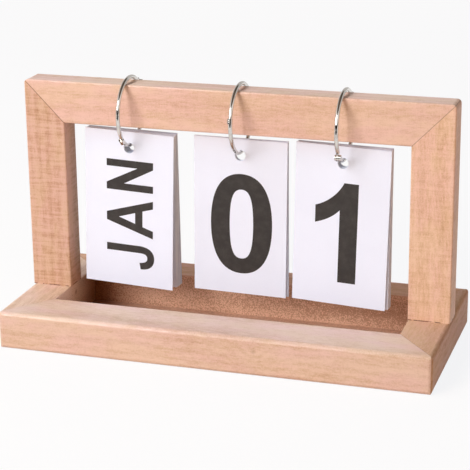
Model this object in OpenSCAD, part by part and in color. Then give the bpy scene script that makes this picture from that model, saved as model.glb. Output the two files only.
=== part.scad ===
// Wooden perpetual calendar: a mitred tray base, a mitred frame that stands on it, and three
// stacks of printed cards that hang from hinged rings round the frame's top rail.
// X runs to the right, -Y to the front, Z up. The origin is the middle of the underside.

/* [Base] */
// Depth of the base, front to back
base_d = 116; // [100:1:150]
// Height of the base
base_h = 23; // [16:0.5:32]
// Width of the front rail, seen from above
front_rail_w = 30; // [20:0.5:36]
// Width of the rear rail, seen from above
rear_rail_w = 25; // [18:0.5:32]
// Width of the two side rails, seen from above
side_rail_w = 24.5; // [20:0.5:32]
// Rounding of the base's outer edges
base_edge_r = 2.5; // [0.5:0.1:4]
// Rounding of the upper edges round the tray
tray_edge_r = 0.8; // [0.3:0.1:2]

/* [Tray floor] */
// Thickness of the floor board
floor_t = 1; // [0.8:0.1:4]
// How far the floor board reaches under the rails
floor_lap = 6; // [3:0.5:10]
// Gap between the floor board's edge and its rebate
floor_gap = 0.2; // [0.1:0.05:0.5]

/* [Frame] */
// Face width of the two stiles
stile_w = 25; // [20:0.5:36]
// Face height of the top rail
rail_h = 25.5; // [18:0.5:36]
// Thickness of the stiles and the top rail, front to back
frame_t = 16.5; // [12:0.5:24]
// How far the frame's front face lies behind the base's front face
frame_setback = 52.5; // [40:0.5:70]
// Rounding of the frame's long edges
frame_edge_r = 1; // [0.3:0.1:2.5]
// Rounding of the frame's two outer top corners, seen from the front
frame_corner_r = 3; // [0.5:0.5:6]

/* [Stile screws] */
// Shank diameter of the wood screws that hold the stiles
screw_d = 4; // [3:0.1:5]
// Head diameter of the screws
screw_head_d = 8; // [6:0.1:9]
// Length of the countersunk head
screw_head_h = 2.6; // [2:0.1:4]
// Length of the screw's point
screw_point = 5; // [3:0.5:8]
// How far the screw runs up into the stile
screw_grip = 22; // [12:1:40]
// How deep the head lies below the underside
screw_sink = 2; // [1:0.1:5]
// Gap round the screw
screw_gap = 0.1; // [0.05:0.05:0.3]

/* [Rings] */
// Diameter of the ring wire
wire_d = 2.4; // [1.8:0.1:3]
// Gap between a ring and the rail edges that carry it
ring_gap = 0.15; // [0.05:0.05:0.3]
// Diameter of the hinge knuckle
knuckle_d = 3.4; // [2.8:0.1:4]
// Width of the hinge knuckle across the ring
knuckle_w = 3.6; // [3:0.1:4.4]
// Thickness of the gate's tongue between the two cheeks
tongue_t = 1.3; // [0.9:0.1:1.6]
// How far the hinge pin's centre lies outside the wire's centre line
hinge_out = 1.4; // [1:0.1:1.8]
// Diameter of the hinge pin
hinge_pin_d = 1.5; // [1:0.1:1.8]
// Gap between the moving side faces of the hinge
hinge_gap = 0.12; // [0.05:0.01:0.2]
// Gap round the hinge pin
pin_gap = 0.05; // [0.02:0.01:0.1]
// Width of the arms that join the hinge eyes to the wire
arm_w = 1.9; // [1.5:0.1:2.2]
// Length of the solid root of the hinge fork
fork_l = 2; // [1.5:0.1:3]
// Diameter of the latch bead
bead_d = 3.2; // [2.8:0.1:3.6]
// How far the bead's inner side lies outside the wire's inner side
bead_out = 0.3; // [0.2:0.05:0.5]
// Length of the latch bead along the ring
bead_l = 3.2; // [2.5:0.1:4]
// Diameter of the nib that snaps into the bead
nib_d = 1.2; // [0.8:0.1:1.6]
// Length of the nib
nib_l = 1.8; // [1:0.1:2.2]
// How far the nib's root runs into the wire
nib_root = 1; // [0.5:0.1:2]
// Gap round the nib and between the two ends of the latch
latch_gap = 0.2; // [0.1:0.05:0.3]

/* [Cards] */
// Width of a card
card_w = 57; // [45:0.5:70]
// Height of a card
card_h = 96; // [70:0.5:120]
// Thickness of a card
card_t = 0.35; // [0.25:0.05:0.5]
// Diameter of the punched hole
hole_d = 6.5; // [6:0.1:8]
// Distance from a card's top edge to the middle of its hole
hole_drop = 10; // [8:0.5:14]
// Gap between the hole's upper edge and the wire that carries it
hang_gap = 0.15; // [0.05:0.05:0.3]
// Gap between the cards and the underside of the top rail
card_top_gap = 4.2; // [2:0.1:10]
// Gap between the cards and the level of the base's top
card_foot_gap = 3.3; // [1:0.1:10]

/* [Stacks] */
// Space between the left stile and the month cards
left_gap = 10.7; // [7:0.1:20]
// Space between the month cards and the tens cards
month_gap = 11.5; // [9:0.1:20]
// Space between the tens cards and the ones cards
day_gap = 5.1; // [4.5:0.1:20]
// Space between the ones cards and the right stile
right_gap = 11.7; // [9:0.1:20]
// Air between each front card and the card behind it, at the ring
front_air = 0.8; // [0.7:0.05:1.2]
// Air between one month card and the next behind the front one
month_air = 0.25; // [0.15:0.05:0.4]
// Air between one tens card and the next behind the front one
tens_air = 0.25; // [0.15:0.05:0.8]
// Air between one ones card and the next behind the front one
ones_air = 0.2; // [0.15:0.05:0.4]

/* [Hidden] */
$fn = 48;
// Overshoot of a cutting shape past the face that it cuts
over = 1;
wood = [0.87, 0.71, 0.59];
board = [0.62, 0.43, 0.32];
metal = [0.78, 0.78, 0.80];
paper = [0.96, 0.95, 0.98];

// Stacks in the order month, tens, ones
MONTH = 0;
TENS = 1;
ONES = 2;
stack_names = ["month", "tens", "ones"];
stack_counts = [12, 4, 10];
stack_airs = [month_air, tens_air, ones_air];
// Backward lean of the front, second and rear card of each stack, in degrees
front_leans = [-0.5, 1, -0.3];
second_leans = [2.8, 1.3, 0.1];
rear_leans = [2.8, 1.3, 0.5];
// Turn of the front, second and rear card of each stack in its own plane, in degrees
front_rolls = [1.6, 1.1, 1.5];
second_rolls = [1.6, 0.3, 0.6];
rear_rolls = [0.6, 0.3, 0.3];
// Turn of each stack about the vertical, in degrees
stack_turns = [-2.5, 0.4, -3.3];

// The opening of the frame holds the three stacks side by side, and the base is as wide as the frame
opening_w = left_gap + month_gap + day_gap + right_gap + 3 * card_w;
base_w = opening_w + 2 * stile_w;
tray_w = base_w - 2 * side_rail_w;
tray_d = base_d - front_rail_w - rear_rail_w;
tray_y = (front_rail_w - rear_rail_w) / 2;
month_x = -opening_w / 2 + left_gap + card_w / 2;
tens_x = month_x + card_w + month_gap;
ones_x = tens_x + card_w + day_gap;
stack_xs = [month_x, tens_x, ones_x];

// Heights stack up from the table: base, cards, top rail
rail_z = base_h + card_foot_gap + card_h + card_top_gap;
frame_h = rail_z + rail_h;
frame_front_y = -base_d / 2 + frame_setback;
rail_y = frame_front_y + frame_t / 2;

// A ring sits on the rail's two rounded top edges, and its inner side carries the cards' holes
hole_r = hole_d / 2;
hole_top_z = rail_z - card_top_gap - (hole_drop - hole_r);
edge_half = frame_t / 2 - frame_edge_r;
ring_drop = frame_h - hole_top_z + hang_gap - 2 * frame_edge_r - ring_gap;
edge_reach = (ring_drop * ring_drop + edge_half * edge_half) / (2 * ring_drop);
ring_r = edge_reach + ring_gap + frame_edge_r;
ring_z = hole_top_z - hang_gap + ring_r;
wire_r = ring_r + wire_d / 2;
hinge_r = wire_r + hinge_out;

// Place of each hinge, in degrees round its ring from the rear over the top, and whether the ring is
// turned about, so that the degrees run from the front over the top
hinge_angles = [140, 193, 225];
ring_turned = [true, true, false];

// Sizes of the hinge and the latch that follow from the ones above
cheek_t = (knuckle_w - tongue_t) / 2 - hinge_gap;
fork_start = knuckle_d / 2 + 2 * hinge_gap;
fork_angle = asin((fork_start + fork_l / 2) / wire_r);
bead_r = ring_r + bead_out + bead_d / 2;
bead_angle = asin((latch_gap + bead_l / 2) / wire_r);
nib_r = (wire_r + bead_r) / 2;
socket_l = nib_l + 2 * latch_gap;

screw_x = base_w / 2 - stile_w / 2;
screw_l = base_h - screw_sink + screw_grip;

// Place of card k along the ring, with the stack's middle under the rail's middle
function stack_depth(s) = front_air + card_t + (stack_counts[s] - 2) * (stack_airs[s] + card_t);
function rest_y(s, k) = front_air + card_t + (k - 1) * (stack_airs[s] + card_t);
function card_y(s, k) = (k == 0 ? 0 : rest_y(s, k)) - stack_depth(s) / 2;

// Value for card k of stack s: the front card has its own, the others go from the second's to the rear's
function card_value(s, k, front, second, rear) =
    k == 0 ? front[s] : second[s] + (rear[s] - second[s]) * (k - 1) / (stack_counts[s] - 2);

function stack_node(s, k) = str(stack_names[s], "_card_", k + 1);
function ring_node(s, piece) = str(stack_names[s], "_ring_", piece);

// What a rounding of radius r takes off a square corner at the origin
module corner_waste(r) {
    difference() {
        translate([-over, -over]) square(r + over);
        translate([r, r]) circle(r);
    }
}

// Rectangle with its lower left corner at the origin and four rounded corners
module eased_rect(w, h, r) {
    difference() {
        square([w, h]);
        corner_waste(r);
        translate([w, 0]) mirror([1, 0]) corner_waste(r);
        translate([0, h]) mirror([0, 1]) corner_waste(r);
        translate([w, h]) rotate(180) corner_waste(r);
    }
}

// Section of a base rail: outer face on the left, rebate for the floor board at the lower right
module base_section(w) {
    difference() {
        square([w, base_h]);
        corner_waste(base_edge_r);
        translate([0, base_h]) mirror([0, 1]) corner_waste(base_edge_r);
        translate([w, base_h]) rotate(180) corner_waste(tray_edge_r);
        translate([w - floor_lap, -over]) square([floor_lap + over, floor_t + over]);
    }
}

// One rail of the base in the front rail's place, mitred from each outer corner to the tray's corner
module base_rail(half_d, half_l, w, left_w, right_w) {
    intersection() {
        translate([0, -half_d, 0])
            rotate([90, 0, 90])
            linear_extrude(2 * half_l, center = true)
            base_section(w);
        linear_extrude(base_h)
            polygon([
                [-half_l, -half_d],
                [half_l, -half_d],
                [half_l - right_w, w - half_d],
                [left_w - half_l, w - half_d]
            ]);
        translate([-half_l, -half_d, 0])
            linear_extrude(base_h)
            eased_rect(2 * half_l, 2 * half_d, base_edge_r);
    }
}

module base_front_rail() {
    color(wood) base_rail(base_d / 2, base_w / 2, front_rail_w, side_rail_w, side_rail_w);
}

module base_rear_rail() {
    color(wood)
        rotate([0, 0, 180])
        base_rail(base_d / 2, base_w / 2, rear_rail_w, side_rail_w, side_rail_w);
}

// Room for one stile screw, from the recess in the underside up to the screw's point
module screw_room(x) {
    translate([x, rail_y, 0]) {
        translate([0, 0, -over])
            cylinder(h = screw_sink + over, d = screw_head_d + 2 * screw_gap);
        translate([0, 0, screw_sink])
            cylinder(h = screw_head_h, d1 = screw_head_d + 2 * screw_gap, d2 = screw_d + 2 * screw_gap);
        cylinder(h = screw_sink + screw_l + screw_gap, d = screw_d + 2 * screw_gap);
    }
}

module base_left_rail() {
    color(wood)
        difference() {
            rotate([0, 0, -90])
                base_rail(base_w / 2, base_d / 2, side_rail_w, rear_rail_w, front_rail_w);
            screw_room(-screw_x);
        }
}

module base_right_rail() {
    color(wood)
        difference() {
            rotate([0, 0, 90])
                base_rail(base_w / 2, base_d / 2, side_rail_w, front_rail_w, rear_rail_w);
            screw_room(screw_x);
        }
}

module tray_floor() {
    reach = 2 * (floor_lap - floor_gap);
    color(board)
        translate([0, tray_y, floor_t / 2])
        cube([tray_w + reach, tray_d + reach, floor_t], center = true);
}

// Outline of the frame with its rounded top corners, through the frame's thickness
module frame_outline() {
    translate([-base_w / 2, frame_front_y + frame_t, 0])
        rotate([90, 0, 0])
        linear_extrude(frame_t)
        difference() {
            square([base_w, frame_h]);
            translate([0, frame_h]) mirror([0, 1]) corner_waste(frame_corner_r);
            translate([base_w, frame_h]) rotate(180) corner_waste(frame_corner_r);
        }
}

// Left stile, cut on the mitre at the top
module stile() {
    intersection() {
        frame_outline();
        translate([-base_w / 2, frame_front_y, base_h])
            linear_extrude(frame_h - base_h)
            eased_rect(stile_w, frame_t, frame_edge_r);
        translate([-base_w / 2, frame_front_y + frame_t, 0])
            rotate([90, 0, 0])
            linear_extrude(frame_t)
            polygon([[0, base_h], [stile_w, base_h], [stile_w, rail_z], [0, frame_h]]);
    }
}

module left_stile() {
    color(wood)
        difference() {
            stile();
            screw_room(-screw_x);
        }
}

module right_stile() {
    color(wood)
        difference() {
            mirror([1, 0, 0]) stile();
            screw_room(screw_x);
        }
}

module top_rail() {
    color(wood)
        intersection() {
            frame_outline();
            translate([-base_w / 2, frame_front_y, rail_z])
                rotate([90, 0, 90])
                linear_extrude(base_w)
                eased_rect(frame_t, rail_h, frame_edge_r);
            translate([-base_w / 2, frame_front_y + frame_t, rail_z])
                rotate([90, 0, 0])
                linear_extrude(frame_t)
                polygon([[0, rail_h], [stile_w, 0], [base_w - stile_w, 0], [base_w, rail_h]]);
        }
}

// Countersunk wood screws, driven up through the side rails into the stiles
module stile_screws() {
    color(metal)
        for (x = [-screw_x, screw_x])
            translate([x, rail_y, screw_sink]) {
                cylinder(h = screw_head_h, d1 = screw_head_d, d2 = screw_d);
                cylinder(h = screw_l - screw_point, d = screw_d);
                translate([0, 0, screw_l - screw_point])
                    cylinder(h = screw_point, d1 = screw_d, d2 = screw_d / 4);
            }
}

// Lays a ring that is drawn flat, with its hinge on the +X side, round the rail at stack s
module on_rail(s) {
    translate([stack_xs[s], rail_y, ring_z])
        rotate([90, 0, 90])
        mirror([ring_turned[s] ? 1 : 0, 0, 0])
        rotate(hinge_angles[s])
        children();
}

// Wire of a ring from one angle to another
module wire_arc(from, to) {
    rotate(from)
        rotate_extrude(angle = to - from)
        translate([wire_r, 0])
        circle(d = wire_d);
}

// Flat hinge eye with an arm that runs back to the wire, centred on the ring's plane
module hinge_eye(t, arm_l) {
    translate([0, 0, -t / 2])
        linear_extrude(t)
        union() {
            translate([hinge_r, 0]) circle(d = knuckle_d);
            translate([hinge_r - knuckle_d / 2, 0]) square([arm_w, arm_l]);
        }
}

module hinge_bore() {
    translate([hinge_r, 0, -knuckle_w])
        cylinder(h = 2 * knuckle_w, d = hinge_pin_d + 2 * pin_gap);
}

// Half of the ring that carries the cards: hinge fork at one end, latch bead at the other
module ring_half(s) {
    cheek_z = tongue_t / 2 + hinge_gap + cheek_t / 2;
    color(metal)
        on_rail(s)
        difference() {
            union() {
                wire_arc(fork_angle, 180 - bead_angle);
                for (side = [-1, 1])
                    translate([0, 0, side * cheek_z]) hinge_eye(cheek_t, fork_start + fork_l);
                translate([hinge_r - knuckle_d / 2, fork_start, -knuckle_w / 2])
                    cube([arm_w, fork_l, knuckle_w]);
                translate([-bead_r, latch_gap, 0])
                    rotate([-90, 0, 0])
                    cylinder(h = bead_l, d = bead_d);
            }
            hinge_bore();
            translate([-nib_r, 0, 0])
                rotate([-90, 0, 0])
                cylinder(h = socket_l, d = nib_d + 2 * latch_gap);
        }
}

// Half of the ring that lies over the rail and opens: hinge tongue at one end, nib at the other
module ring_gate(s) {
    color(metal)
        on_rail(s)
        difference() {
            union() {
                wire_arc(-fork_angle, -180);
                mirror([0, 1, 0]) hinge_eye(tongue_t, fork_start + fork_l);
                translate([-nib_r, -nib_root, 0])
                    rotate([-90, 0, 0])
                    cylinder(h = nib_root + nib_l, d = nib_d);
            }
            hinge_bore();
        }
}

module ring_pin(s) {
    color(metal)
        on_rail(s)
        translate([hinge_r, 0, -knuckle_w / 2])
        cylinder(h = knuckle_w, d = hinge_pin_d);
}

// Card k of stack s, counted from the front, hanging by the upper edge of its hole
module card(s, k) {
    y = card_y(s, k);
    reach = abs(y) + card_t / 2;
    lean = card_value(s, k, front_leans, second_leans, rear_leans);
    roll = card_value(s, k, front_rolls, second_rolls, rear_rolls);
    color(paper)
        translate([stack_xs[s], rail_y + y, ring_z - sqrt(ring_r * ring_r - reach * reach) + hang_gap])
        rotate([0, 0, stack_turns[s]])
        rotate([lean, 0, 0])
        rotate([0, roll, 0])
        translate([0, card_t / 2, 0])
        rotate([90, 0, 0])
        linear_extrude(card_t)
        difference() {
            translate([-card_w / 2, hole_drop - hole_r - card_h]) square([card_w, card_h]);
            translate([0, -hole_r]) circle(d = hole_d);
        }
}

base_front_rail();
base_rear_rail();
base_left_rail();
base_right_rail();
tray_floor();
left_stile();
right_stile();
top_rail();
stile_screws();
for (s = [MONTH : ONES]) {
    ring_half(s);
    ring_gate(s);
    ring_pin(s);
    for (k = [0 : stack_counts[s] - 1])
        card(s, k);
}
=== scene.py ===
"""Looks of a wooden perpetual calendar: three stacks of printed cards, on rings in a wooden frame.

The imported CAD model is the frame, and it is shown as it is, with materials. This script adds the printing on
the cards, the studio and the camera. Lengths are in metres, except where a name ends in _mm or _MM.
"""
import math

import bpy
from mathutils import Matrix, Vector


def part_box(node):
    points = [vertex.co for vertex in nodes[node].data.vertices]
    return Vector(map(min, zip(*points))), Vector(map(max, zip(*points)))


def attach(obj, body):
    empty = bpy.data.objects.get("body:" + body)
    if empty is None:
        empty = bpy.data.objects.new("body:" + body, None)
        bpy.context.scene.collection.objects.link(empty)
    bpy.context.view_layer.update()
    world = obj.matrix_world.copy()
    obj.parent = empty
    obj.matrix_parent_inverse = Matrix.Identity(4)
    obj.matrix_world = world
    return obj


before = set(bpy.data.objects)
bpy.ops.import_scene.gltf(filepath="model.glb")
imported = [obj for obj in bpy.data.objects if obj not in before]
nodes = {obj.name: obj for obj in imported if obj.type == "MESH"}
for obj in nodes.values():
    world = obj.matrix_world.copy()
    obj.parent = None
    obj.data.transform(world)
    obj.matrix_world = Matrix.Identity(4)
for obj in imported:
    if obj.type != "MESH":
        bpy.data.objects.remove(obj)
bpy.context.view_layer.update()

MM = 0.001

# Sizes that the looks share with the frame
RAIL_LOW, RAIL_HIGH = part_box("top_rail")
STILE_LOW, STILE_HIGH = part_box("left_stile")
BASE_LOW = Vector((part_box("base_left_rail")[0].x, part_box("base_front_rail")[0].y, 0.0))
BASE_HIGH = Vector((
    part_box("base_right_rail")[1].x,
    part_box("base_rear_rail")[1].y,
    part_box("base_rear_rail")[1].z,
))
TRAY_LOW = Vector((
    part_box("base_left_rail")[1].x,
    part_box("base_front_rail")[1].y,
    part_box("tray_floor")[0].z,
))
TRAY_HIGH = Vector((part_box("base_right_rail")[0].x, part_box("base_rear_rail")[0].y, BASE_HIGH.z))

# Colours, as linear red, green and blue. A tint, a painted light or a painted shade multiplies another colour
WHITE = (1.0, 1.0, 1.0)
BEECH_PALE = (0.785, 0.517, 0.405)
BEECH_MID = (0.660, 0.402, 0.276)
BEECH_DEEP = (0.510, 0.272, 0.160)
PINK_TINT = (1.0, 0.965, 1.0)
YELLOW_TINT = (0.985, 0.995, 0.925)
KNOT_DARK = (0.260, 0.120, 0.065)
SEAM_DARK = (0.170, 0.066, 0.034)
SAWN_PALE = (0.930, 0.710, 0.590)
SAWN_DEEP = (0.560, 0.370, 0.275)
# Painted shade in the tray's left rear corner
TRAY_CORNER_SHADE = (0.330, 0.165, 0.070)
BOARD_PALE = (0.720, 0.440, 0.310)
BOARD_DEEP = (0.540, 0.300, 0.200)
PAPER_WHITE = (0.818, 0.846, 0.970)
PAPER_SHADE = (0.795, 0.820, 0.943)
# Painted light and painted shade on the cards' cut edges
EDGE_PAINTED_LIGHT = (0.930, 0.955, 1.000)
EDGE_PAINTED_SHADE = (0.560, 0.575, 0.680)
INK_DARK = (0.036, 0.031, 0.029)
INK_WORN = (0.054, 0.047, 0.044)
# Painted light on faces that look up
UPPER_PAINTED_LIGHT = (1.12, 1.20, 1.27)
NICKEL_BRIGHT = (0.700, 0.665, 0.625)
NICKEL_DULL = (0.560, 0.525, 0.490)
ZINC_BRIGHT = (0.640, 0.640, 0.620)
ZINC_DULL = (0.480, 0.480, 0.470)
FLOOR_PALE = (0.700, 0.540, 0.410)
GLOW_PALE = (0.985, 1.005, 1.030)
FLAG_DARK = (0.012, 0.011, 0.010)
AMBIENT_FRONT = (0.060, 0.048, 0.037)
AMBIENT_REAR = (0.190, 0.162, 0.138)
SKY_PALE = (1.0, 0.98, 0.96)
CEILING_DARK = (0.150, 0.112, 0.085)
FRONT_DARK = (0.030, 0.022, 0.018)
KEY_WHITE = (1.0, 0.985, 0.98)
LAMP_WHITE = (1.0, 0.98, 0.97)
LAMP_BLUE = (0.78, 0.91, 1.0)
LAMP_AMBER = (1.0, 0.56, 0.26)


def put(tree, kind, inputs=None, **settings):
    """Adds a node. An input is a plain value, or the output socket that feeds it."""
    made = tree.nodes.new(kind)
    for name, value in settings.items():
        setattr(made, name, value)
    for key, value in (inputs or {}).items():
        if isinstance(value, bpy.types.NodeSocket):
            tree.links.new(value, made.inputs[key])
        else:
            made.inputs[key].default_value = value
    return made


def math_node(tree, operation, first, second=0.0):
    return put(tree, "ShaderNodeMath", {0: first, 1: second}, operation=operation).outputs[0]


def vector_node(tree, operation, first, second):
    made = put(tree, "ShaderNodeVectorMath", {0: first, 1: second}, operation=operation)
    return made.outputs["Value" if operation in ("DOT_PRODUCT", "DISTANCE", "LENGTH") else "Vector"]


def fade(tree, value, start, end, first=0.0, last=1.0):
    """Goes smoothly from first at start to last at end."""
    settings = {"Value": value, "From Min": start, "From Max": end, "To Min": first, "To Max": last}
    return put(tree, "ShaderNodeMapRange", settings, interpolation_type="SMOOTHSTEP").outputs["Result"]


# Places of a Mix node's sockets when it mixes colours
MIX_FACTOR, MIX_FIRST, MIX_SECOND = 0, 6, 7
MIX_RESULT = 2


def mix_colours(tree, factor, first, second, blend="MIX"):
    made = put(tree, "ShaderNodeMix", data_type="RGBA", blend_type=blend)
    for place, value in ((MIX_FACTOR, factor), (MIX_FIRST, first), (MIX_SECOND, second)):
        socket = made.inputs[place]
        if isinstance(value, bpy.types.NodeSocket):
            tree.links.new(value, socket)
        else:
            socket.default_value = value if isinstance(value, float) else (*value, 1.0)
    return made.outputs[MIX_RESULT]


def multiply_colours(tree, first, second):
    return mix_colours(tree, 1.0, first, second, "MULTIPLY")


def weighted_sum(tree, *parts):
    """Adds up values, each times its share."""
    total = None
    for value, share in parts:
        term = math_node(tree, "MULTIPLY", value, share)
        total = term if total is None else math_node(tree, "ADD", total, term)
    return total


def noise(tree, coords, scale, detail=2.0, roughness=0.5):
    settings = {"Vector": coords, "Scale": scale, "Detail": detail, "Roughness": roughness}
    return put(tree, "ShaderNodeTexNoise", settings).outputs[0]


def start_material(name):
    """A material with its Principled shader, and the places on the piece in the piece's own coordinates."""
    material = bpy.data.materials.new(name)
    material.use_nodes = True
    tree = material.node_tree
    shader = tree.nodes["Principled BSDF"]
    places = put(tree, "ShaderNodeTexCoord").outputs["Object"]
    return material, tree, shader, places


def bump(tree, shader, height, depth, strength):
    made = put(tree, "ShaderNodeBump", {"Height": height, "Strength": strength, "Distance": depth})
    tree.links.new(made.outputs["Normal"], shader.inputs["Normal"])


# Turns that lay a piece's grain along X
GRAIN_TURNS = {"X": (0.0, 0.0, 0.0), "Y": (0.0, 0.0, -math.pi / 2), "Z": (0.0, math.pi / 2, 0.0)}

# Year rings: their spacing, their middle beside the piece, and how far they wander
RING_SPACING = 5.5 * MM
PITH = (0.0, 0.070, 0.045)
RING_WANDER = 13.0

# Noise scales of the wood, per metre along and across the grain
CLOUD_SCALE = (8.0, 55.0)
FIBRE_SCALE = (150.0, 950.0)
MOTTLE_SCALE = (160.0, 430.0)
FLECK_SCALE = (300.0, 2100.0)
WANDER_SCALE = (9.0, 26.0)
HUE_SCALE = (28.0, 75.0)
SAW_SCALE = (560.0, 60.0)
GRIT_SCALE = 1250.0

# Shares of the noises in the wood's depth of colour, and the depths between which its colours go over
CLOUD_SHARE = 0.60
MOTTLE_SHARE = 0.32
FIBRE_SHARE = 0.53
GRIT_SHARE = 0.45
PALE_TO_MID = (0.76, 1.14)
MID_TO_DEEP = (1.01, 1.36)

# A knot bends the year rings out to some of its radii, and is darkest inside a share of its radius
KNOT_BEND = 8.0
KNOT_SPREAD = 5.0
KNOT_CORE = 0.15

# The dark line at a stile's foot starts to fade at the first height and is gone at the second
FOOT_LINE = (0.25 * MM, 0.9 * MM)

# How far the painted shade in the tray's left rear corner reaches from the corner
CORNER_SHADE_REACH = 46.0 * MM


def inside_tray(tree, places):
    """One on the faces that look into the tray, below their eased upper edge."""
    middle = (TRAY_LOW + TRAY_HIGH) / 2
    half = (TRAY_HIGH - TRAY_LOW) / 2 + Vector((0.3, 0.3, -0.6)) * MM
    beyond = vector_node(tree, "SUBTRACT", places, middle)
    beyond = put(tree, "ShaderNodeVectorMath", {0: beyond}, operation="ABSOLUTE").outputs["Vector"]
    beyond = put(tree, "ShaderNodeSeparateXYZ", {0: vector_node(tree, "SUBTRACT", beyond, half)})
    furthest = math_node(tree, "MAXIMUM", beyond.outputs[0], beyond.outputs[1])
    furthest = math_node(tree, "MAXIMUM", furthest, beyond.outputs[2])
    return fade(tree, furthest, -0.2 * MM, 0.4 * MM, 1.0, 0.0)


def stained(tree, places, colour):
    """A colour with painted shade round the tray's left rear corner."""
    flat = vector_node(tree, "MULTIPLY", places, (1.0, 1.0, 0.0))
    away = vector_node(tree, "DISTANCE", flat, (TRAY_LOW.x, TRAY_HIGH.y, 0.0))
    corner_shade = mix_colours(tree, fade(tree, away, 0.0, CORNER_SHADE_REACH), TRAY_CORNER_SHADE, WHITE)
    return multiply_colours(tree, colour, corner_shade)


def beech(name, grain, shift, tone, gloss, seams=(), knots=(), figure=0.05, saw_marks=0.0, foot_gap=None):
    """Pale beech with its grain along one axis, and a tone and a gloss for the whole piece.

    Seams are glue lines: a normal, a place on it, a half width and a strength. Knots are a place, a radius
    and a strength. Figure and saw_marks are the shares of the year rings and of the marks across the grain.
    A foot gap is the height of a dark, broken line at the foot of the piece.
    """
    material, tree, shader, places = start_material(name)
    turn = {"Vector": places, "Location": shift, "Rotation": GRAIN_TURNS[grain]}
    lying = put(tree, "ShaderNodeMapping", turn).outputs[0]

    def stretched(scale):
        along, across = scale
        return vector_node(tree, "MULTIPLY", lying, (along, across, across))

    cloud = noise(tree, stretched(CLOUD_SCALE), 1.0, 3.0)
    fibre = noise(tree, stretched(FIBRE_SCALE), 1.0, 4.0, 0.62)
    mottle = noise(tree, stretched(MOTTLE_SCALE), 1.0, 3.0, 0.6)
    fleck = noise(tree, stretched(FLECK_SCALE), 1.0, 1.0)
    grit = noise(tree, places, GRIT_SCALE, 2.0, 0.6)
    wander = noise(tree, stretched(WANDER_SCALE), 1.0, 2.0)
    hue = noise(tree, stretched(HUE_SCALE), 1.0, 3.0, 0.6)
    saw = noise(tree, stretched(SAW_SCALE), 1.0, 4.0, 0.65)

    from_pith = vector_node(tree, "ADD", vector_node(tree, "MULTIPLY", lying, (0.0, 1.0, 1.0)), PITH)
    radius = vector_node(tree, "LENGTH", from_pith, (0.0, 0.0, 0.0))
    turns = math_node(tree, "DIVIDE", radius, RING_SPACING / math.tau)
    turns = math_node(tree, "ADD", turns, math_node(tree, "MULTIPLY", wander, RING_WANDER))
    eyes = []
    for place, reach, strength in knots:
        away = vector_node(tree, "DISTANCE", places, place)
        turns = math_node(tree, "ADD", turns, fade(tree, away, 0.0, KNOT_SPREAD * reach, KNOT_BEND, 0.0))
        eyes.append(fade(tree, away, KNOT_CORE * reach, reach, strength, 0.0))
    rings = math_node(tree, "SINE", turns)

    cuts = math_node(tree, "SUBTRACT", saw, 0.5)
    depth = weighted_sum(tree, (cloud, CLOUD_SHARE), (mottle, MOTTLE_SHARE), (fibre, FIBRE_SHARE),
                         (grit, GRIT_SHARE), (rings, figure), (cuts, saw_marks))
    colour = mix_colours(tree, fade(tree, depth, *PALE_TO_MID), BEECH_PALE, BEECH_MID)
    colour = mix_colours(tree, fade(tree, depth, *MID_TO_DEEP), colour, BEECH_DEEP)
    dash = fade(tree, fleck, 0.64, 0.80, 0.0, 0.40)
    colour = mix_colours(tree, dash, colour, BEECH_DEEP)
    tint = mix_colours(tree, fade(tree, hue, 0.38, 0.62), PINK_TINT, YELLOW_TINT)
    colour = multiply_colours(tree, colour, tint)
    for eye in eyes:
        colour = mix_colours(tree, eye, colour, KNOT_DARK)

    # Painted light: the upper faces are lighter and bluer, as if lit from above
    facing = put(tree, "ShaderNodeTexCoord").outputs["Normal"]
    upward = fade(tree, put(tree, "ShaderNodeSeparateXYZ", {0: facing}).outputs["Z"], 0.45, 0.95)
    colour = multiply_colours(tree, colour, mix_colours(tree, upward, WHITE, UPPER_PAINTED_LIGHT))

    # The tray's walls are left as sawn, so they are speckled, with painted shade in one corner
    speckle = weighted_sum(tree, (grit, 0.7), (cloud, 0.5))
    sawn = mix_colours(tree, fade(tree, speckle, 0.51, 0.69), SAWN_DEEP, SAWN_PALE)
    for eye in eyes:
        sawn = mix_colours(tree, eye, sawn, KNOT_DARK)
    colour = mix_colours(tree, inside_tray(tree, places), colour, stained(tree, places, sawn))
    colour = multiply_colours(tree, colour, tone)

    for normal, place, half_width, strength in seams:
        off = math_node(tree, "SUBTRACT", vector_node(tree, "DOT_PRODUCT", places, normal), place)
        line = fade(tree, math_node(tree, "ABSOLUTE", off), 0.0, half_width, strength, 0.0)
        colour = mix_colours(tree, line, colour, SEAM_DARK)
    if foot_gap is not None:
        height = put(tree, "ShaderNodeSeparateXYZ", {0: places}).outputs["Z"]
        broken = fade(tree, noise(tree, places, 260.0), 0.46, 0.54)
        line = fade(tree, height, foot_gap + FOOT_LINE[0], foot_gap + FOOT_LINE[1], 0.9, 0.0)
        colour = mix_colours(tree, math_node(tree, "MULTIPLY", line, broken), colour, SEAM_DARK)

    tree.links.new(colour, shader.inputs["Base Color"])
    tree.links.new(fade(tree, fibre, 0.3, 0.7, 0.38, 0.52), shader.inputs["Roughness"])
    shader.inputs["Specular IOR Level"].default_value = gloss
    bump(tree, shader, math_node(tree, "SUBTRACT", fibre, dash), 0.06 * MM, 0.35)
    return material


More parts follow.
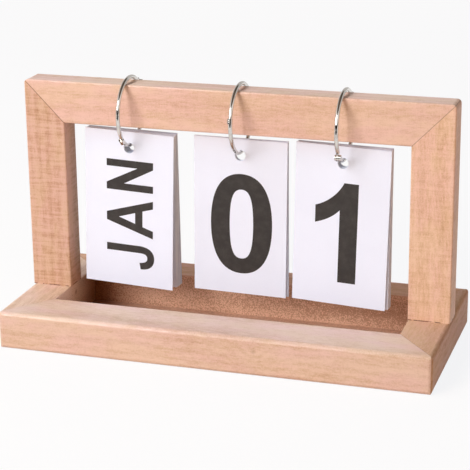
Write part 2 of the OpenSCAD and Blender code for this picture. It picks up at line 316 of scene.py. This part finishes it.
def hardboard(name):
    """Speckled brown board, with painted shade round the tray's left rear corner."""
    material, tree, shader, places = start_material(name)
    speckle = noise(tree, places, 700.0, 3.0, 0.7)
    cloud = noise(tree, places, 40.0)
    blend = weighted_sum(tree, (speckle, 0.75), (cloud, 0.25))
    colour = mix_colours(tree, fade(tree, blend, 0.36, 0.64), BOARD_DEEP, BOARD_PALE)
    tree.links.new(stained(tree, places, colour), shader.inputs["Base Color"])
    tree.links.new(fade(tree, speckle, 0.3, 0.7, 0.6, 0.8), shader.inputs["Roughness"])
    bump(tree, shader, speckle, 0.1 * MM, 0.4)
    return material


# Noise scales of the lines of painted shade between the cards on a stack's edges, per metre: even across, fine
# from card to card
EDGE_LAYERS = (0.0, 900.0, 30.0)


def card_stock(name):
    """Smooth white card: a faint cloud and the paper's fibres. Its cut edges have painted light, with lines of
    painted shade between the cards.
    """
    material, tree, shader, places = start_material(name)
    cloud = noise(tree, places, 30.0, 3.0)
    fibre = noise(tree, places, 1600.0, 3.0, 0.65)
    blend = weighted_sum(tree, (cloud, 0.6), (fibre, 0.4))
    colour = mix_colours(tree, fade(tree, blend, 0.35, 0.65), PAPER_WHITE, PAPER_SHADE)
    facing = put(tree, "ShaderNodeTexCoord").outputs["Normal"]
    sideways = math_node(tree, "ABSOLUTE", put(tree, "ShaderNodeSeparateXYZ", {0: facing}).outputs["X"])
    layers = noise(tree, vector_node(tree, "MULTIPLY", places, EDGE_LAYERS), 1.0, 2.0)
    edge = mix_colours(tree, fade(tree, layers, 0.36, 0.54), EDGE_PAINTED_SHADE, EDGE_PAINTED_LIGHT)
    colour = mix_colours(tree, fade(tree, sideways, 0.4, 0.8), colour, edge)
    tree.links.new(colour, shader.inputs["Base Color"])
    tree.links.new(fade(tree, fibre, 0.3, 0.7, 0.5, 0.62), shader.inputs["Roughness"])
    shader.inputs["Specular IOR Level"].default_value = 0.3
    bump(tree, shader, fibre, 0.02 * MM, 0.25)
    return material


def printing_ink(name):
    """Matt black ink, a little worn."""
    material, tree, shader, places = start_material(name)
    cloud = noise(tree, places, 180.0, 3.0, 0.6)
    grain = noise(tree, places, 2600.0, 2.0)
    blend = weighted_sum(tree, (cloud, 0.6), (grain, 0.4))
    colour = mix_colours(tree, fade(tree, blend, 0.4, 0.68), INK_DARK, INK_WORN)
    tree.links.new(colour, shader.inputs["Base Color"])
    tree.links.new(fade(tree, grain, 0.3, 0.7, 0.5, 0.65), shader.inputs["Roughness"])
    shader.inputs["Specular IOR Level"].default_value = 0.25
    bump(tree, shader, grain, 0.01 * MM, 0.2)
    return material


# Noise scales of the scratches, per metre along the three axes
SCRATCH_SCALE = (5200.0, 900.0, 900.0)


def metal(name, bright, dull, smooth, rough):
    """Plated wire or zinc: bright metal with dull patches and fine scratches."""
    material, tree, shader, places = start_material(name)
    patch = noise(tree, places, 160.0, 3.0, 0.6)
    scratch = noise(tree, vector_node(tree, "MULTIPLY", places, SCRATCH_SCALE), 1.0, 2.0)
    colour = mix_colours(tree, fade(tree, patch, 0.45, 0.75), bright, dull)
    tree.links.new(colour, shader.inputs["Base Color"])
    tree.links.new(fade(tree, patch, 0.35, 0.75, smooth, rough), shader.inputs["Roughness"])
    shader.inputs["Metallic"].default_value = 1.0
    bump(tree, shader, scratch, 0.01 * MM, 0.08)
    return material


def dress(name, material):
    piece = nodes[name]
    piece.data.materials.clear()
    piece.data.materials.append(material)


def corner_seam(outer, inner, half_width, strength):
    """The glue line of a mitre from an outer to an inner corner, as beech() takes it."""
    run = (Vector(inner) - Vector(outer)).normalized()
    flat = Vector((0, 1, 0)) if abs(run.y) < 1e-6 else Vector((0, 0, 1))
    normal = run.cross(flat).normalized()
    return normal, normal.dot(Vector(outer)), half_width, strength


# Woodwork
left_top = corner_seam((STILE_LOW.x, 0, RAIL_HIGH.z), (STILE_HIGH.x, 0, RAIL_LOW.z), 0.36 * MM, 0.9)
right_top = corner_seam((-STILE_LOW.x, 0, RAIL_HIGH.z), (-STILE_HIGH.x, 0, RAIL_LOW.z), 0.36 * MM, 0.6)
front_left = corner_seam((BASE_LOW.x, BASE_LOW.y, 0), (TRAY_LOW.x, TRAY_LOW.y, 0), 0.16 * MM, 0.25)
front_right = corner_seam((BASE_HIGH.x, BASE_LOW.y, 0), (TRAY_HIGH.x, TRAY_LOW.y, 0), 0.22 * MM, 0.6)
rear_left = corner_seam((BASE_LOW.x, BASE_HIGH.y, 0), (TRAY_LOW.x, TRAY_HIGH.y, 0), 0.16 * MM, 0.6)
rear_right = corner_seam((BASE_HIGH.x, BASE_HIGH.y, 0), (TRAY_HIGH.x, TRAY_HIGH.y, 0), 0.16 * MM, 0.6)
front_knot = ((0.0276, -0.0580, 0.0149), 2.0 * MM, 0.20)
wall_knot = ((-0.1055, 0.0024, 0.0167), 2.6 * MM, 0.65)

# Each piece's material: its name, the axis of its grain, a shift of its noises, its tone and its gloss
WOODWORK = {
    "top_rail": beech(
        "beech_top", "X", (0.11, 0.32, 0.07), (0.97, 0.96, 0.98), 0.60,
        seams=(left_top, right_top), saw_marks=0.20,
    ),
    "left_stile": beech(
        "beech_left", "Z", (0.53, 0.21, 0.44), (0.86, 0.83, 0.81), 0.20,
        seams=(left_top,), figure=0.06, saw_marks=1.10, foot_gap=STILE_LOW.z,
    ),
    "right_stile": beech(
        "beech_right", "Z", (0.27, 0.83, 0.61), (1.03, 1.03, 1.01), 0.35,
        seams=(right_top,), figure=0.04, saw_marks=0.45, foot_gap=STILE_LOW.z,
    ),
    "base_front_rail": beech(
        "beech_front", "X", (0.71, 0.05, 0.38), (0.93, 0.95, 0.98), 0.80,
        seams=(front_left, front_right), knots=(front_knot,),
    ),
    # Painted shade: the darker, warmer tone stands for the shade on the rear rail's top, behind the cards
    "base_rear_rail": beech(
        "beech_rear", "X", (0.36, 0.64, 0.92), (0.82, 0.68, 0.58), 0.12,
        seams=(rear_left, rear_right),
    ),
    "base_left_rail": beech(
        "beech_west", "Y", (0.95, 0.47, 0.15), (0.98, 0.98, 0.98), 0.70,
        seams=(front_left, rear_left), knots=(wall_knot,),
    ),
    # Painted shade: the darker, warmer tone stands for the shade on the right rail's side, which faces away
    # from the key
    "base_right_rail": beech(
        "beech_east", "Y", (0.19, 0.58, 0.77), (0.80, 0.73, 0.63), 0.08,
        seams=(front_right, rear_right),
    ),
}
for wood_name, wood in WOODWORK.items():
    dress(wood_name, wood)
dress("tray_floor", hardboard("hardboard"))

# Rings and screws
nickel = metal("nickel", NICKEL_BRIGHT, NICKEL_DULL, 0.07, 0.16)
zinc = metal("zinc", ZINC_BRIGHT, ZINC_DULL, 0.28, 0.42)
stacks = {"month": 12, "tens": 4, "ones": 10}
for stack in stacks:
    for part in ("half", "gate", "pin"):
        dress(f"{stack}_ring_{part}", nickel)
dress("stile_screws", zinc)

# Cards and their printing
paper = card_stock("card_stock")
ink = printing_ink("ink")
INK_LIFT = 0.01 * MM
INK_T = 0.03 * MM


def card_face(name):
    """Matrix that lays a drawing in metres on a card's printed face, from the face's lower left corner."""
    mesh = nodes[name].data
    facing = [face for face in mesh.polygons if face.normal.y < -0.9]
    corners = [mesh.vertices[index].co for face in facing for index in face.vertices]
    lower_left = max(corners, key=lambda place: -place.x - place.z)
    lower_right = max(corners, key=lambda place: place.x - place.z)
    upper_left = max(corners, key=lambda place: place.z - place.x)
    across = (lower_right - lower_left).normalized()
    up = (upper_left - lower_left).normalized()
    out = across.cross(up)
    face = Matrix((across, up, out)).transposed().to_4x4()
    face.translation = lower_left + out * (INK_LIFT + INK_T / 2)
    return face


def flat_mesh(curve):
    """The filled mesh of a drawn curve, which is then deleted."""
    drawn = bpy.data.objects.new("drawn", curve)
    bpy.context.scene.collection.objects.link(drawn)
    seen = drawn.evaluated_get(bpy.context.evaluated_depsgraph_get())
    mesh = bpy.data.meshes.new_from_object(seen)
    bpy.data.objects.remove(drawn)
    bpy.data.curves.remove(curve)
    return mesh


def lay_print(card, mesh):
    mesh.materials.clear()
    mesh.materials.append(ink)
    piece = bpy.data.objects.new(f"{card}_print", mesh)
    bpy.context.scene.collection.objects.link(piece)
    piece.matrix_world = card_face(card)
    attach(piece, card)


def outline_mesh(loops):
    """Fills closed outlines in millimetres. Each point is a place and the handles before and after it."""
    curve = bpy.data.curves.new("outline", "CURVE")
    curve.dimensions = "2D"
    curve.fill_mode = "BOTH"
    curve.resolution_u = 20
    curve.extrude = INK_T / 2
    for loop in loops:
        spline = curve.splines.new("BEZIER")
        spline.bezier_points.add(len(loop) - 1)
        spline.use_cyclic_u = True
        for knot, (place, before, after) in zip(spline.bezier_points, loop):
            knot.handle_left_type = "FREE"
            knot.handle_right_type = "FREE"
            knot.co = (place[0] * MM, place[1] * MM, 0)
            knot.handle_left = (before[0] * MM, before[1] * MM, 0)
            knot.handle_right = (after[0] * MM, after[1] * MM, 0)
    return flat_mesh(curve)


def corner(x, y, before=None, after=None):
    return (x, y), before or (x, y), after or (x, y)


def oval(centre, radii, bulge):
    """A closed oval. Bulge gives the length of its handles across and up, as shares of the radii."""
    x, y = centre
    across, up = radii
    out = across * bulge[0]
    rise = up * bulge[1]
    return [
        corner(x + across, y, (x + across, y - rise), (x + across, y + rise)),
        corner(x, y + up, (x + out, y + up), (x - out, y + up)),
        corner(x - across, y, (x - across, y + rise), (x - across, y - rise)),
        corner(x, y - up, (x - out, y - up), (x + out, y - up)),
    ]


# Outlines of the printed characters, in millimetres: the digits from the card's lower left corner, the
# letters from their own
ZERO = [
    oval((29.3, 43.8), (18.9, 31.0), (0.66, 0.64)),
    oval((29.3, 43.7), (7.25, 21.5), (0.66, 0.78)),
]
ONE = [[
    corner(38.45, 74.4),
    corner(29.65, 74.4, None, (27.9, 69.7)),
    corner(12.75, 59.6, (21.3, 62.2)),
    corner(12.75, 49.1, None, (18.8, 50.75)),
    corner(27.5, 57.8, (24.0, 53.8)),
    corner(27.5, 13.8),
    corner(38.45, 13.8),
]]
LETTER_J = [[
    corner(10.2, 30.1),
    corner(14.7, 30.1),
    corner(14.7, 9.0, None, (14.7, 2.6)),
    corner(7.2, -0.9, (11.9, -0.9), (2.6, -0.9)),
    corner(0.0, 8.0, (-0.1, 2.3)),
    corner(4.1, 8.7, None, (4.2, 5.2)),
    corner(7.2, 3.6, (5.3, 3.6), (9.4, 3.6)),
    corner(10.2, 9.0, (10.2, 5.0)),
]]
LETTER_A = [
    [
        corner(0, 0),
        corner(9.2, 30.1),
        corner(14.4, 30.1),
        corner(23.6, 0),
        corner(18.8, 0),
        corner(16.7, 6.8),
        corner(6.9, 6.8),
        corner(4.8, 0),
    ],
    [corner(8.4, 11.6), corner(11.8, 22.2), corner(15.2, 11.6)],
]
LETTER_N = [[
    corner(0, 0),
    corner(0, 30.1),
    corner(4.4, 30.1),
    corner(14.5, 10.1),
    corner(14.5, 30.1),
    corner(18.9, 30.1),
    corner(18.9, 0),
    corner(14.5, 0),
    corner(4.4, 18.8),
    corner(4.4, 0),
]]
MONTH_BASELINE_MM = 44.05
MONTH_CAP_MM = 30.1
MONTH_RUN_MM = (10.85, 78.35)
LETTER_STARTS_MM = (MONTH_RUN_MM[0], 30.9, 59.45)
DIGIT_BOX_MM = (10.4, 12.8, 48.2, 74.8)


def read_upward(loops, start):
    """Turns a letter's outlines so that they read up the card, from a height on it."""
    def turn(place):
        return MONTH_BASELINE_MM - place[1], start + place[0]
    return [[tuple(turn(place) for place in knot) for knot in loop] for loop in loops]


def typed_mesh(words, box_mm, upward):
    """Typed characters as a mesh that fills a box on the card: left, bottom, right and top."""
    curve = bpy.data.curves.new("typed", "FONT")
    curve.body = words
    curve.size = 1.0
    curve.offset = 0.03
    curve.space_character = 1.1
    curve.resolution_u = 6
    curve.fill_mode = "BOTH"
    curve.extrude = 0.5
    mesh = flat_mesh(curve)
    if upward:
        mesh.transform(Matrix.Rotation(math.pi / 2, 4, "Z"))
    low = Vector(tuple(min(vertex.co[axis] for vertex in mesh.vertices) for axis in range(3)))
    high = Vector(tuple(max(vertex.co[axis] for vertex in mesh.vertices) for axis in range(3)))
    left, bottom, right, top = (edge * MM for edge in box_mm)
    size = Matrix.Diagonal(((right - left) / (high.x - low.x), (top - bottom) / (high.y - low.y), INK_T, 1.0))
    mesh.transform(Matrix.Translation((left, bottom, 0)) @ size @ Matrix.Translation((-low.x, -low.y, 0)))
    return mesh


MONTHS = ("JAN", "FEB", "MAR", "APR", "MAY", "JUN", "JUL", "AUG", "SEP", "OCT", "NOV", "DEC")
MONTH_BOX_MM = (MONTH_BASELINE_MM - MONTH_CAP_MM, MONTH_RUN_MM[0], MONTH_BASELINE_MM, MONTH_RUN_MM[1])
JANUARY = []
for letter, letter_start in zip((LETTER_J, LETTER_A, LETTER_N), LETTER_STARTS_MM):
    JANUARY += read_upward(letter, letter_start)
for stack, count in stacks.items():
    for place in range(count):
        card = f"{stack}_card_{place + 1}"
        dress(card, paper)
        if stack == "month" and place == 0:
            lay_print(card, outline_mesh(JANUARY))
        elif stack == "month":
            lay_print(card, typed_mesh(MONTHS[place], MONTH_BOX_MM, True))
        else:
            digit = place if stack == "tens" else (place + 1) % 10
            if digit == 0:
                lay_print(card, outline_mesh(ZERO))
            elif digit == 1:
                lay_print(card, outline_mesh(ONE))
            else:
                lay_print(card, typed_mesh(str(digit), DIGIT_BOX_MM, False))


# Studio: a pale floor that the camera and the metal see as almost white, and that keeps a soft shadow
FLOOR_SEEN = 0.80
FLOOR_GLOW = 1.085
FLOOR_GRAIN = 1.03
FLOOR_REACH = 12.0
FLOOR_DROP = 0.05 * MM

# Flags: two opposite corners of each
FLAGS = {
    "near_flag": ((-0.6, -2.0), (0.9, -0.45)),
    "far_flag": ((-5.0, -12.0), (5.0, -2.0)),
}
FLAG_LIFT = 0.05 * MM
FLAG_WEAVE = 0.6

# World: the shares of a direction's height or depth between which its light goes over
AMBIENT_DEPTHS = (-0.1, 0.6)
CEILING_HEIGHTS = (0.60, 0.76)
LOW_HEIGHTS = (0.17, 0.23)
FRONT_DEPTHS = (-0.2, -0.5)
REAR_DEPTHS = (0.0, 0.5)
REAR_SEEN = 0.65


def seen_rays(tree):
    """One for rays from the camera and for those that metal and glass send on."""
    path = put(tree, "ShaderNodeLightPath")
    seen = math_node(tree, "MAXIMUM", path.outputs["Is Camera Ray"], path.outputs["Is Glossy Ray"])
    return math_node(tree, "MAXIMUM", seen, path.outputs["Is Transmission Ray"])


def make_sheet(name, low, high, height, material):
    """A flat rectangle of the studio, seen from above."""
    mesh = bpy.data.meshes.new(name)
    outline = ((low[0], low[1]), (high[0], low[1]), (high[0], high[1]), (low[0], high[1]))
    mesh.from_pydata([(x, y, height) for x, y in outline], [], [(0, 1, 2, 3)])
    mesh.materials.append(material)
    sheet = bpy.data.objects.new(name, mesh)
    bpy.context.scene.collection.objects.link(sheet)
    return sheet


def make_floor():
    material, tree, shader, places = start_material("floor")
    grain = noise(tree, places, 60.0)
    pale = tuple(channel * FLOOR_GRAIN for channel in FLOOR_PALE)
    tree.links.new(mix_colours(tree, grain, FLOOR_PALE, pale), shader.inputs["Base Color"])
    shader.inputs["Roughness"].default_value = 0.9
    shader.inputs["Specular IOR Level"].default_value = 0.1
    glow = put(tree, "ShaderNodeEmission", {"Color": (*GLOW_PALE, 1.0), "Strength": FLOOR_GLOW})
    share = math_node(tree, "MULTIPLY", seen_rays(tree), FLOOR_SEEN)
    both = put(tree, "ShaderNodeMixShader", {0: share, 1: shader.outputs[0], 2: glow.outputs[0]})
    tree.links.new(both.outputs[0], tree.nodes["Material Output"].inputs["Surface"])
    make_sheet("floor", (-FLOOR_REACH, -FLOOR_REACH), (FLOOR_REACH, FLOOR_REACH), -FLOOR_DROP, material)


def make_flags():
    """Dark cards on the floor in front, near and far, which only the rings' reflections see."""
    material, tree, shader, places = start_material("flag")
    weave = noise(tree, places, 400.0)
    darker = tuple(channel * FLAG_WEAVE for channel in FLAG_DARK)
    tree.links.new(mix_colours(tree, weave, FLAG_DARK, darker), shader.inputs["Base Color"])
    shader.inputs["Roughness"].default_value = 0.9
    for name, (low, high) in FLAGS.items():
        flag = make_sheet(name, low, high, FLAG_LIFT, material)
        flag.visible_camera = False
        flag.visible_diffuse = False
        flag.visible_shadow = False


def make_world():
    """Weak warm light, stronger from the rear. Metal sees a pale room with a dark ceiling and low front."""
    world = bpy.data.worlds.new("studio")
    bpy.context.scene.world = world
    world.use_nodes = True
    tree = world.node_tree
    direction = put(tree, "ShaderNodeTexCoord").outputs["Generated"]
    axes = put(tree, "ShaderNodeSeparateXYZ", {0: direction})
    depth = axes.outputs["Y"]
    height = axes.outputs["Z"]
    ambient = mix_colours(tree, fade(tree, depth, *AMBIENT_DEPTHS), AMBIENT_FRONT, AMBIENT_REAR)
    light = put(tree, "ShaderNodeBackground", {"Color": ambient, "Strength": 1.0})
    low = fade(tree, height, *LOW_HEIGHTS, 1.0, 0.0)
    low_front = math_node(tree, "MULTIPLY", low, fade(tree, depth, *FRONT_DEPTHS))
    seen = mix_colours(tree, fade(tree, height, *CEILING_HEIGHTS), SKY_PALE, CEILING_DARK)
    seen = mix_colours(tree, low_front, seen, FRONT_DARK)
    strength = fade(tree, depth, *REAR_DEPTHS, 1.0, REAR_SEEN)
    sky = put(tree, "ShaderNodeBackground", {"Color": seen, "Strength": strength})
    both = put(tree, "ShaderNodeMixShader", {0: seen_rays(tree), 1: light.outputs[0], 2: sky.outputs[0]})
    tree.links.new(both.outputs[0], tree.nodes["World Output"].inputs["Surface"])


def softbox(name, azimuth, elevation, distance, size, watts, colour, in_metal=False):
    """A square lamp that faces the middle of the frame. Azimuth 0 is in front, positive is to the right."""
    middle = Vector((0, 0, RAIL_HIGH.z / 2))
    a = math.radians(azimuth)
    e = math.radians(elevation)
    back = Vector((math.sin(a) * math.cos(e), -math.cos(a) * math.cos(e), math.sin(e)))
    data = bpy.data.lights.new(name, "AREA")
    data.shape = "SQUARE"
    data.size = size
    data.energy = watts
    data.color = colour
    lamp = bpy.data.objects.new(name, data)
    lamp.location = middle + back * distance
    lamp.rotation_mode = "QUATERNION"
    lamp.rotation_quaternion = (-back).to_track_quat("-Z", "Y")
    lamp.visible_glossy = in_metal
    bpy.context.scene.collection.objects.link(lamp)


make_floor()
make_flags()
make_world()

# Lamps: azimuth and elevation in degrees, distance and size in metres, watts and colour
softbox("key", -29.0, 26.0, 2.2, 1.0, 35.4, KEY_WHITE, in_metal=True)
softbox("fill", 22.0, 12.0, 2.4, 1.4, 8.0, LAMP_WHITE)
softbox("top", -58.0, 54.0, 1.8, 1.0, 17.0, LAMP_BLUE)
softbox("warm", 70.0, 12.0, 2.4, 1.2, 7.5, LAMP_AMBER)
softbox("back", -165.0, 14.0, 2.4, 1.6, 20.0, LAMP_WHITE)


# Camera, solved from the photograph's straight edges
CAMERA_AZIMUTH = math.radians(17.647)
CAMERA_ELEVATION = math.radians(17.954)
CAMERA_ROLL = math.radians(-0.638)
CAMERA_DISTANCE = 0.97594
CAMERA_TARGET = Vector((-0.00072, 0.0, 0.06380))
FOCAL_PIXELS = 1647.17
IMAGE_PIXELS = 470


def make_camera():
    back = Vector((
        math.sin(CAMERA_AZIMUTH) * math.cos(CAMERA_ELEVATION),
        -math.cos(CAMERA_AZIMUTH) * math.cos(CAMERA_ELEVATION),
        math.sin(CAMERA_ELEVATION),
    ))
    level = Vector((math.cos(CAMERA_AZIMUTH), math.sin(CAMERA_AZIMUTH), 0.0))
    rise = back.cross(level)
    right = math.cos(CAMERA_ROLL) * level + math.sin(CAMERA_ROLL) * rise
    up = back.cross(right)
    data = bpy.data.cameras.new("camera")
    data.lens = FOCAL_PIXELS * data.sensor_width / IMAGE_PIXELS
    camera = bpy.data.objects.new("camera", data)
    bpy.context.scene.collection.objects.link(camera)
    place = Matrix((right, up, back)).transposed().to_4x4()
    place.translation = CAMERA_TARGET + back * CAMERA_DISTANCE
    camera.matrix_world = place
    bpy.context.scene.camera = camera


make_camera()
bpy.context.scene.view_settings.view_transform = "Standard"
